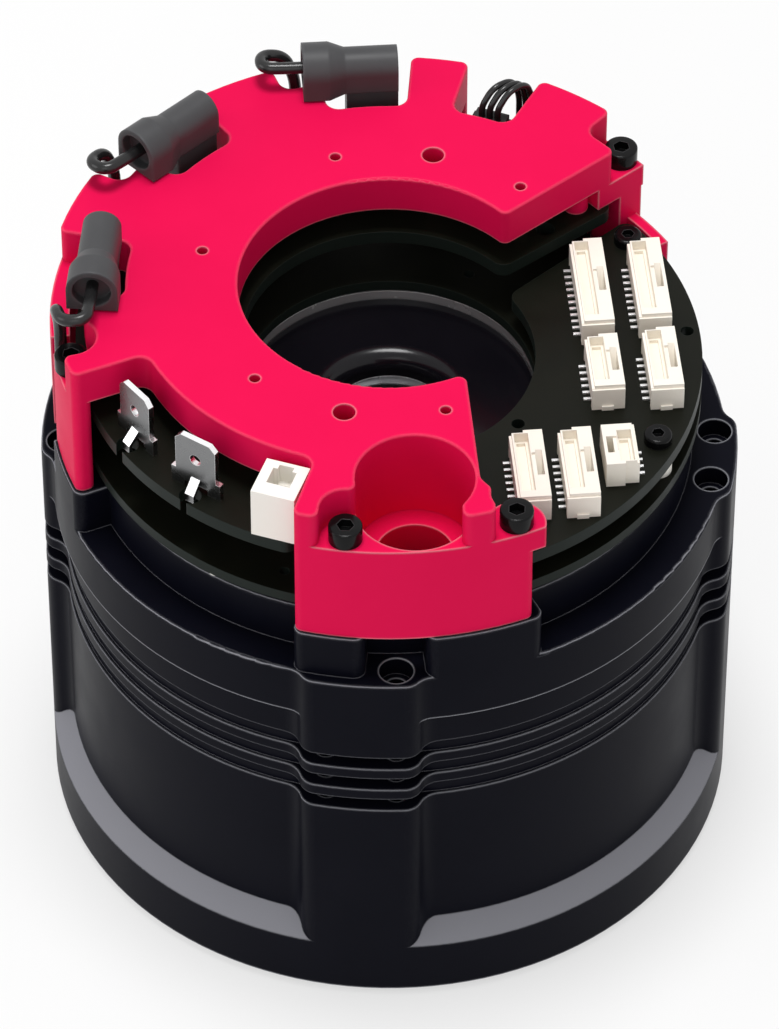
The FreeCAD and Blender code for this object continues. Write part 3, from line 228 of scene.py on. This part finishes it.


# One finish: two close colours that drift, a painted highlight along convex edges, and grain. Where the real
# surface has them, it has tool lines and cut sides coloured apart; faces that slant or face up can get a
# painted highlight.
def makeFinish(name, ownLook):
    look = {**plainLook, "reach": ownLook["round"], **ownLook}
    material = bpy.data.materials.new(name)
    material.use_nodes = True
    tree = material.node_tree
    shader = tree.nodes["Principled BSDF"]
    low, high = look["roughness"]
    edges = placeGroup(tree, softEdges, {"Round": look["round"], "Reach": look["reach"]})
    mottle = placeGroup(tree, slowMottle, {"Scale": look["mottle"], "Low": low, "High": high})
    normal = edges["Normal"]
    colour = mixColour(tree, mottle["Mask"], look["colour"], look["drift"])
    if "lines" in look:
        lines = placeGroup(tree, toolLines, {"Normal": normal, **look["lines"]})
        normal = lines["Normal"]
        marked = calc(tree, "MULTIPLY", lines["Lines"], look["lineMark"])
        colour = mixColour(tree, marked, colour, look["lineColour"])
    grain = placeGroup(tree, fineGrain, {"Normal": normal, "Scale": look["grain"], "Depth": look["depth"]})
    if "slantHighlight" in look:   # painted highlight on chamfers and lips that face outwards and up
        facing = upwardPart(tree, edges["Normal"])
        slantHighlightBand = calc(tree, "MULTIPLY", remap(tree, facing, *facingSetup["slantFromBelow"]),
                    remap(tree, facing, *facingSetup["slantFromAbove"]))
        colour = mixColour(tree, slantHighlightBand, colour, look["slantHighlight"])
    if "top" in look:   # painted highlight on faces that face up, the sheared tops among them
        facing = upwardPart(tree, edges["Normal"])
        colour = mixColour(tree, remap(tree, facing, *facingSetup["top"]), colour, look["top"])
    if "side" in look:   # a sawn or cut side, where the surface stands upright
        facing = upwardPart(tree, tree.nodes.new("ShaderNodeTexCoord").outputs["Normal"])
        side = remap(tree, calc(tree, "ABSOLUTE", facing), *facingSetup["side"])
        colour = mixColour(tree, side, colour, look["side"])
    # Convex edges are painted lighter: a painted highlight along every rim.
    edgeHighlight = calc(tree, "MULTIPLY", edges["Edge"], look["edgeAmount"])
    feed(tree, shader.inputs["Base Color"], mixColour(tree, edgeHighlight, colour, look["edge"]))
    feed(tree, shader.inputs["Normal"], grain["Normal"])
    feed(tree, shader.inputs["Roughness"], mottle["Value"])
    shader.inputs["Metallic"].default_value = look["metallic"]
    shader.inputs["Specular IOR Level"].default_value = look["specular"]
    shader.inputs["Coat Weight"].default_value = look["coat"]
    shader.inputs["Coat Roughness"].default_value = look["coatRoughness"]
    return material


undressed = set(nodes)


def dress(finish, names):
    for name in names:
        nodes[name].data.materials.clear()
        nodes[name].data.materials.append(finish)
        undressed.discard(name)


# Housing: blasted and black anodised. Its cone and lips get a painted highlight in light grey, and its convex
# edges a painted light line.
housingLook = {
    "colour": (0.0032, 0.0034, 0.0072), "drift": (0.0041, 0.0043, 0.0084), "edge": (0.38, 0.385, 0.42),
    "slantHighlight": (0.28, 0.28, 0.31), "round": 0.00030, "roughness": (0.34, 0.40), "specular": 0.034,
    "grain": 5200.0, "depth": 0.000002, "mottle": 90.0,
}
dress(makeFinish("bodyAnodised", housingLook), ["housing"])

# Cover: satin crimson anodising, with a painted pale pink highlight along its convex edges.
coverLook = {
    "colour": (0.80, 0.0060, 0.080), "drift": (0.78, 0.0052, 0.076), "edge": (0.97, 0.30, 0.36),
    "round": 0.00050, "reach": 0.00033, "edgeAmount": 0.85, "roughness": (0.40, 0.46), "specular": 0.03,
    "grain": 5200.0, "depth": 0.000003, "mottle": 70.0,
}
dress(makeFinish("coverCrimson", coverLook), ["drive_cover"])

# Boards: dark solder mask over glass cloth, with a sawn side.
boardLook = {
    "colour": (0.0056, 0.0062, 0.0038), "drift": (0.0074, 0.0078, 0.0048), "edge": (0.012, 0.016, 0.013),
    "side": (0.011, 0.016, 0.013), "round": 0.00010, "roughness": (0.36, 0.44), "specular": 0.09,
    "grain": 2600.0, "depth": 0.0000015, "mottle": 160.0,
    "lines": {"Rings": 0.0, "Along X": 1.0, "Lines Per Metre": 2400.0, "Depth": 0.0000006, "Waver": 0.5},
    "lineMark": 0.35, "lineColour": (0.0040, 0.0048, 0.0034),
}
dress(makeFinish("boardMask", boardLook), ["upper_board", "connector_board", "encoder_board"])

# Headers: ivory nylon. The small brake header and the spacers are whiter.
headerLook = {
    "colour": (0.96, 0.905, 0.81), "drift": (0.95, 0.89, 0.79), "edge": (0.97, 0.94, 0.88),
    "round": 0.00008, "roughness": (0.40, 0.50), "specular": 0.25,
    "grain": 6000.0, "depth": 0.000001, "mottle": 260.0,
}
notHeaders = ("connector_board", "connector_pins")
headerNames = [n for n in nodes if n.startswith("connector_") and n not in notHeaders]
dress(makeFinish("headerIvory", headerLook), headerNames)
whiteLook = dict(headerLook, colour=(0.95, 0.925, 0.86), drift=(0.94, 0.91, 0.84))
dress(makeFinish("nylonWhite", whiteLook), ["brake_header", "board_spacers"])

# Tabs: rolled and tinned brass, with a painted highlight on faces that face up and along the edges. The
# header pins are tinned too, with the same painted highlights.
tabLook = {
    "colour": (0.20, 0.202, 0.205), "drift": (0.225, 0.227, 0.23), "edge": (0.85, 0.85, 0.86),
    "top": (0.90, 0.90, 0.91), "round": 0.00006, "reach": 0.00010, "roughness": (0.24, 0.30), "metallic": 1.0,
    "grain": 5200.0, "depth": 0.0000008, "mottle": 260.0,
    "lines": {"Rings": 0.0, "Along X": 0.8, "Along Y": 0.6, "Lines Per Metre": 9000.0, "Depth": 0.0000006,
              "Waver": 0.8},
    "lineMark": 0.3, "lineColour": (0.22, 0.222, 0.225),
}
dress(makeFinish("tabTin", tabLook), ["supply_tabs", "phase_tabs"])
pinLook = dict(tabLook, colour=(0.78, 0.77, 0.74), drift=(0.70, 0.69, 0.66), metallic=0.6)
dress(makeFinish("pinTin", pinLook), ["connector_pins"])

# Boots: dark vinyl. Plug, sensor header and read head: moulded black plastic.
bootLook = {
    "colour": (0.052, 0.052, 0.055), "drift": (0.060, 0.060, 0.063), "edge": (0.085, 0.085, 0.09),
    "round": 0.00045, "roughness": (0.42, 0.50), "specular": 0.25,
    "grain": 3400.0, "depth": 0.000003, "mottle": 170.0,
}
dress(makeFinish("bootVinyl", bootLook), ["terminal_boots"])
plugLook = dict(bootLook, colour=(0.016, 0.016, 0.017), drift=(0.020, 0.020, 0.021), edge=(0.05, 0.05, 0.052))
dress(makeFinish("plugPlastic", plugLook), ["sensor_plug", "sensor_header", "encoder_read_head"])

# Leads: extruded insulation.
leadLook = {
    "colour": (0.012, 0.012, 0.0125), "drift": (0.016, 0.016, 0.0165), "edge": (0.02, 0.02, 0.02),
    "round": 0.00010, "roughness": (0.20, 0.28), "specular": 0.35,
    "grain": 1400.0, "depth": 0.000004, "mottle": 240.0,
}
dress(makeFinish("leadSleeve", leadLook), ["phase_leads", "sensor_leads"])

# Encoder hub: a turned dish with a gloss black coat, and a ground ring round it; both have a painted white
# highlight along their edges.
dishLook = {
    "colour": (0.0045, 0.0040, 0.0060), "drift": (0.0060, 0.0052, 0.0075), "edge": (0.90, 0.90, 0.92),
    "round": 0.00015, "reach": 0.00018, "roughness": (0.16, 0.20), "specular": 0.22,
    "grain": 2600.0, "depth": 0.0000003, "mottle": 60.0,
}
dress(makeFinish("dishGloss", dishLook), ["encoder_hub"])
ringLook = {
    "colour": (0.46, 0.462, 0.47), "drift": (0.50, 0.502, 0.51), "edge": (0.95, 0.95, 0.96),
    "round": 0.00012, "roughness": (0.20, 0.28), "metallic": 0.4,
    "grain": 3000.0, "depth": 0.000001, "mottle": 180.0,
    "lines": {"Rings": 1.0, "Lines Per Metre": 7000.0, "Depth": 0.000001, "Waver": 0.6},
    "lineMark": 0.3, "lineColour": (0.34, 0.342, 0.35),
}
dress(makeFinish("ringGround", ringLook), ["encoder_ring"])

# Turned and ground steel of the gear, the flange and the shaft.
steelLook = {
    "colour": (0.40, 0.405, 0.415), "drift": (0.36, 0.365, 0.375), "edge": (0.72, 0.73, 0.75),
    "round": 0.00020, "roughness": (0.24, 0.34), "metallic": 1.0,
    "grain": 2400.0, "depth": 0.000002, "mottle": 200.0,
    "lines": {"Rings": 1.0, "Lines Per Metre": 3200.0, "Depth": 0.000002, "Waver": 0.5},
    "lineMark": 0.35, "lineColour": (0.30, 0.305, 0.315),
}
steelNames = ["output_flange", "output_bearing_retainer", "flexspline", "clamp_nut", "circular_spline",
              "rotor_shaft"]
dress(makeFinish("turnedSteel", steelLook), steelNames)
bearingLook = dict(steelLook, colour=(0.58, 0.59, 0.61), drift=(0.54, 0.55, 0.57), roughness=(0.10, 0.16),
                   lineMark=0.15)
notBearings = ("bearing_shield", "output_bearing_retainer")
dress(makeFinish("bearingSteel", bearingLook), [n for n in nodes if "bearing" in n and n not in notBearings])
alloyLook = dict(steelLook, colour=(0.62, 0.63, 0.65), drift=(0.57, 0.58, 0.60), roughness=(0.32, 0.42))
dress(makeFinish("turnedAlloy", alloyLook), ["bearing_shield", "cable_tube", "wave_generator_plug"])

# Motor: stacked laminations, enamelled copper, plated magnets.
laminationLook = dict(
    steelLook, colour=(0.20, 0.20, 0.215), drift=(0.17, 0.17, 0.18), edge=(0.32, 0.32, 0.33),
    roughness=(0.38, 0.48), lineMark=0.7, lineColour=(0.05, 0.05, 0.055),
    lines={"Rings": 0.0, "Along Z": 1.0, "Lines Per Metre": 2000.0, "Depth": 0.00002, "Waver": 0.15})
dress(makeFinish("laminations", laminationLook), ["stator_core", "rotor_yoke"])
copperLook = dict(
    laminationLook, colour=(0.62, 0.22, 0.075), drift=(0.52, 0.17, 0.055), edge=(0.72, 0.30, 0.12), coat=0.6,
    roughness=(0.26, 0.34), lineColour=(0.16, 0.045, 0.015),
    lines={"Rings": 1.0, "Along Z": 1.0, "Lines Per Metre": 1600.0, "Depth": 0.00006, "Waver": 0.1})
dress(makeFinish("enamelledCopper", copperLook), ["stator_windings"])
magnetLook = dict(steelLook, colour=(0.46, 0.45, 0.43), drift=(0.40, 0.39, 0.375), roughness=(0.14, 0.22),
                  lineMark=0.1)
dress(makeFinish("magnetNickel", magnetLook), ["rotor_magnets"])

# Seals: black rubber.
rubberLook = dict(bootLook, colour=(0.010, 0.010, 0.0105), drift=(0.014, 0.014, 0.0145),
                  roughness=(0.55, 0.68))
dress(makeFinish("sealRubber", rubberLook), ["output_seal", "rotor_seal"])

# Black oxide, on all that is left: screws, the retaining ring and the snap ring.
screwLook = {
    "colour": (0.0035, 0.0035, 0.0038), "drift": (0.0050, 0.0050, 0.0054), "edge": (0.05, 0.05, 0.053),
    "round": 0.00012, "reach": 0.00014, "roughness": (0.14, 0.20), "specular": 0.14,
    "grain": 4200.0, "depth": 0.0000012, "mottle": 420.0,
}
screwFinish = makeFinish("blackOxide", screwLook)
dress(screwFinish, sorted(undressed))
print("finishes set")


# Cap screws with rounded heads, made on the places of the plain ones.
capScrewSetup = {
    "headHeight": 0.0025,
    "socketAcross": 0.0020,
    "socketDepth": 0.0013,
    "edgeRound": 0.00028,
    "shankRadius": 0.00125,
    "edgeSteps": 4,
    "headSides": 64,
    "shankSides": 32,
    "sharpDeg": 35.0,
    "seed": 5,
}


def loosePieces(name):   # the box of each separate solid in a node
    build = bmesh.new()
    build.from_mesh(nodes[name].data)
    bmesh.ops.remove_doubles(build, verts=build.verts, dist=1e-6)
    left = set(build.verts)
    boxes = []
    while left:
        front = [left.pop()]
        found = list(front)
        while front:
            near = [e.other_vert(v) for v in front for e in v.link_edges]
            front = [v for v in dict.fromkeys(near) if v in left]
            left.difference_update(front)
            found += front
        low = Vector([min(v.co[i] for v in found) for i in range(3)])
        high = Vector([max(v.co[i] for v in found) for i in range(3)])
        boxes.append((low, high))
    build.free()
    return sorted(boxes, key=lambda b: tuple(b[0]))


def lifted(tree, geometry, height):
    lift = addNode(tree, "ShaderNodeCombineXYZ", None, Z=height).outputs[0]
    return addNode(tree, "GeometryNodeTransform", None, Geometry=geometry, Translation=lift).outputs[0]


def cylinder(tree, sides, radius, depth):   # half above the origin and half below
    return addNode(tree, "GeometryNodeMeshCylinder", None, Vertices=sides, Radius=radius, Depth=depth).outputs


# A plain cylinder whose top face is raised and drawn in along a quarter circle.
def roundedHead(tree, given, straight):
    head = cylinder(tree, capScrewSetup["headSides"], given["Head Radius"], straight)
    mesh, top = head["Mesh"], head["Top"]
    steps = capScrewSetup["edgeSteps"]
    for i in range(steps):
        before, after = (math.pi / 2 * k / steps for k in (i, i + 1))
        rise = calc(tree, "MULTIPLY", given["Edge Round"], math.sin(after) - math.sin(before))
        raised = addNode(tree, "GeometryNodeExtrudeMesh", {"mode": "FACES"}, Mesh=mesh, Selection=top,
                         Offset_Scale=rise, Individual=False).outputs
        radii = [calc(tree, "SUBTRACT", given["Head Radius"],
                      calc(tree, "MULTIPLY", given["Edge Round"], 1 - math.cos(a))) for a in (before, after)]
        drawn = addNode(tree, "GeometryNodeScaleElements", None, Geometry=raised["Mesh"],
                        Selection=raised["Top"], Scale=calc(tree, "DIVIDE", radii[1], radii[0]))
        mesh, top = drawn.outputs[0], raised["Top"]
    return lifted(tree, mesh, calc(tree, "MULTIPLY", straight, 0.5))


# The shank reaches up to the middle of the head's straight part, so that the two join.
def plainShank(tree, given, straight):
    middle = calc(tree, "MULTIPLY", straight, 0.5)
    length = calc(tree, "ADD", given["Shank Length"], middle)
    shank = cylinder(tree, capScrewSetup["shankSides"], given["Shank Radius"], length)["Mesh"]
    return lifted(tree, shank, calc(tree, "SUBTRACT", middle, calc(tree, "MULTIPLY", length, 0.5)))


def hexagonSocket(tree, given):   # centred on the head's top, so twice as deep as the hole
    corner = calc(tree, "DIVIDE", given["Socket Across"], math.sqrt(3))
    socket = cylinder(tree, 6, corner, calc(tree, "MULTIPLY", given["Socket Depth"], 2.0))["Mesh"]
    return lifted(tree, socket, given["Head Height"])


def smoothButSharp(tree, mesh):   # smooth faces, with the edges that turn by more than the limit kept sharp
    smooth = addNode(tree, "GeometryNodeSetShadeSmooth", {"domain": "FACE"}, Geometry=mesh).outputs[0]
    angle = addNode(tree, "GeometryNodeInputMeshEdgeAngle").outputs["Unsigned Angle"]
    sharp = addNode(tree, "FunctionNodeCompare", {"data_type": "FLOAT", "operation": "GREATER_THAN"},
                    A=angle, B=math.radians(capScrewSetup["sharpDeg"]))
    return addNode(tree, "GeometryNodeSetShadeSmooth", {"domain": "EDGE"}, Geometry=smooth,
                   Selection=sharp.outputs["Result"], Shade_Smooth=False).outputs[0]


def buildScrewTree():
    tree = bpy.data.node_groups.new("capScrews", "GeometryNodeTree")
    addSocket(tree, "Places", "INPUT", "NodeSocketGeometry")
    for label, value in (("Head Radius", 0.002), ("Head Height", 0.0025), ("Edge Round", 0.0003),
                         ("Shank Radius", 0.00125), ("Shank Length", 0.01), ("Socket Across", 0.002),
                         ("Socket Depth", 0.0013)):
        addSocket(tree, label, "INPUT", "NodeSocketFloat", value)
    addSocket(tree, "Seed", "INPUT", "NodeSocketInt", 1)
    addSocket(tree, "Finish", "INPUT", "NodeSocketMaterial")
    addSocket(tree, "Screws", "OUTPUT", "NodeSocketGeometry")
    given = tree.nodes.new("NodeGroupInput").outputs
    out = tree.nodes.new("NodeGroupOutput").inputs
    straight = calc(tree, "SUBTRACT", given["Head Height"], given["Edge Round"])
    head = roundedHead(tree, given, straight)
    shank = plainShank(tree, given, straight)
    joined = addNode(tree, "GeometryNodeMeshBoolean", {"operation": "UNION", "solver": "EXACT"})
    feed(tree, joined.inputs["Mesh 2"], head)
    feed(tree, joined.inputs["Mesh 2"], shank)
    cut = addNode(tree, "GeometryNodeMeshBoolean", {"operation": "DIFFERENCE", "solver": "EXACT"},
                  Mesh_1=joined.outputs["Mesh"], Mesh_2=hexagonSocket(tree, given))
    screw = smoothButSharp(tree, cut.outputs["Mesh"])
    # Each socket is turned by up to a sixth of a turn, where it would look the same again.
    turn = addNode(tree, "FunctionNodeRandomValue", {"data_type": "FLOAT"}, Seed=given["Seed"])
    feed(tree, turn.inputs[3], math.pi / 3)   # the highest angle
    spin = addNode(tree, "ShaderNodeCombineXYZ", None, Z=turn.outputs[1]).outputs[0]
    copies = addNode(tree, "GeometryNodeInstanceOnPoints", None, Points=given["Places"], Instance=screw,
                     Rotation=spin)
    real = addNode(tree, "GeometryNodeRealizeInstances", None, Geometry=copies.outputs[0]).outputs[0]
    real = addNode(tree, "GeometryNodeSetMaterial", None, Geometry=real, Material=given["Finish"]).outputs[0]
    feed(tree, out["Screws"], real)
    return tree


def runTree(name, tree, places, values):
    mesh = bpy.data.meshes.new(name + "Places")
    mesh.from_pydata(places, [], [])
    host = bpy.data.objects.new(name + "Host", mesh)
    bpy.context.scene.collection.objects.link(host)
    modifier = host.modifiers.new(name, "NODES")
    modifier.node_group = tree
    for item in tree.interface.items_tree:
        if item.item_type == "SOCKET" and item.in_out == "INPUT" and item.name in values:
            modifier[item.identifier] = values[item.name]
    made = bpy.data.meshes.new_from_object(host.evaluated_get(bpy.context.evaluated_depsgraph_get()))
    bpy.data.objects.remove(host)
    piece = bpy.data.objects.new(name, made)
    bpy.context.scene.collection.objects.link(piece)
    return piece


def makeCapScrews(name, node, setup):
    boxes = loosePieces(node)
    low, high = boxes[0]
    headHeight = setup["headHeight"]
    places = [((a.x + b.x) / 2, (a.y + b.y) / 2, b.z - headHeight) for a, b in boxes]
    piece = runTree(name, screwTree, places, {
        "Head Radius": (high.x - low.x) / 2, "Head Height": headHeight, "Edge Round": setup["edgeRound"],
        "Shank Radius": setup["shankRadius"], "Shank Length": high.z - low.z - headHeight,
        "Socket Across": setup["socketAcross"], "Socket Depth": setup["socketDepth"],
        "Seed": setup["seed"], "Finish": screwFinish})
    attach(piece, "housing")
    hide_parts(node)
    print(name, len(boxes), "screws,", len(piece.data.polygons), "faces")


screwTree = buildScrewTree()
makeCapScrews("capScrews", "cover_screws", capScrewSetup)


# Studio: a pale floor, an overhead soft box for the rims, and wide fills in front and on the left.
studio = {
    "floorColour": (0.93, 0.93, 0.93),
    "floorRoughness": 0.9,
    "floorSize": 6.0,
    "floorDrop": 0.0002,   # below the lowest face, so that the two don't meet
    "floorPlain": 0.6,
    "worldLevel": 0.46,
    "lamps": [   # name, place, aim, diameter, watts
        ("topSoft", (-0.02, 0.05, 0.85), (0, 0, 0.06), 0.26, 3.9),
        ("frontFill", (-0.10, -0.75, 0.60), (0, 0, 0.04), 0.60, 1.0),
        ("leftFill", (-0.80, -0.20, 0.36), (0, 0, 0.05), 0.50, 1.3),
    ],
}


# Gives one for a ray that shows the background as such: from the camera, by reflection or through glass.
def backgroundRays(tree):
    path = tree.nodes.new("ShaderNodeLightPath").outputs
    seen = calc(tree, "ADD", path["Is Camera Ray"], path["Is Glossy Ray"])
    return calc(tree, "ADD", seen, path["Is Transmission Ray"])


def mixShaders(tree, factor, first, second):
    mix = tree.nodes.new("ShaderNodeMixShader")
    for socket, value in zip(mix.inputs, (factor, first.outputs[0], second.outputs[0])):
        feed(tree, socket, value)
    return mix.outputs[0]


def makeFloor(look):
    mesh = bpy.data.meshes.new("floor")
    build = bmesh.new()
    bmesh.ops.create_grid(build, x_segments=1, y_segments=1, size=look["floorSize"])
    build.to_mesh(mesh)
    build.free()
    floor = bpy.data.objects.new("floor", mesh)
    floor.location = (0, 0, -look["floorDrop"])
    bpy.context.scene.collection.objects.link(floor)
    material = bpy.data.materials.new("floorPaper")
    material.use_nodes = True
    tree = material.node_tree
    shader = tree.nodes["Principled BSDF"]
    shader.inputs["Base Color"].default_value = (*look["floorColour"], 1.0)
    shader.inputs["Roughness"].default_value = look["floorRoughness"]
    shader.inputs["Specular IOR Level"].default_value = 0.0
    plain = addNode(tree, "ShaderNodeEmission", None, Color=(1, 1, 1), Strength=1.0)
    share = calc(tree, "MULTIPLY", backgroundRays(tree), look["floorPlain"])   # the rest shows a soft shadow
    feed(tree, tree.nodes["Material Output"].inputs["Surface"], mixShaders(tree, share, shader, plain))
    mesh.materials.append(material)


def makeLamps(look):
    for name, place, aim, size, watts in look["lamps"]:
        lamp = bpy.data.objects.new(name, bpy.data.lights.new(name, "AREA"))
        lamp.data.shape = "DISK"
        lamp.data.size = size
        lamp.data.energy = watts
        lamp.location = place
        lamp.rotation_mode = "QUATERNION"
        lamp.rotation_quaternion = (Vector(aim) - Vector(place)).to_track_quat("-Z", "Y")
        bpy.context.scene.collection.objects.link(lamp)


def makeWorld(look):   # lights the object at its own level, and shows as plain white
    world = bpy.data.worlds.new("studio")
    bpy.context.scene.world = world
    world.use_nodes = True
    tree = world.node_tree
    tree.nodes.clear()
    light = addNode(tree, "ShaderNodeBackground", None, Color=(1, 1, 1), Strength=look["worldLevel"])
    white = addNode(tree, "ShaderNodeBackground", None, Color=(1, 1, 1), Strength=1.0)
    out = tree.nodes.new("ShaderNodeOutputWorld")
    feed(tree, out.inputs["Surface"], mixShaders(tree, backgroundRays(tree), light, white))


makeFloor(studio)
makeLamps(studio)
makeWorld(studio)
bpy.context.scene.view_settings.view_transform = "Standard"
print("studio ready")
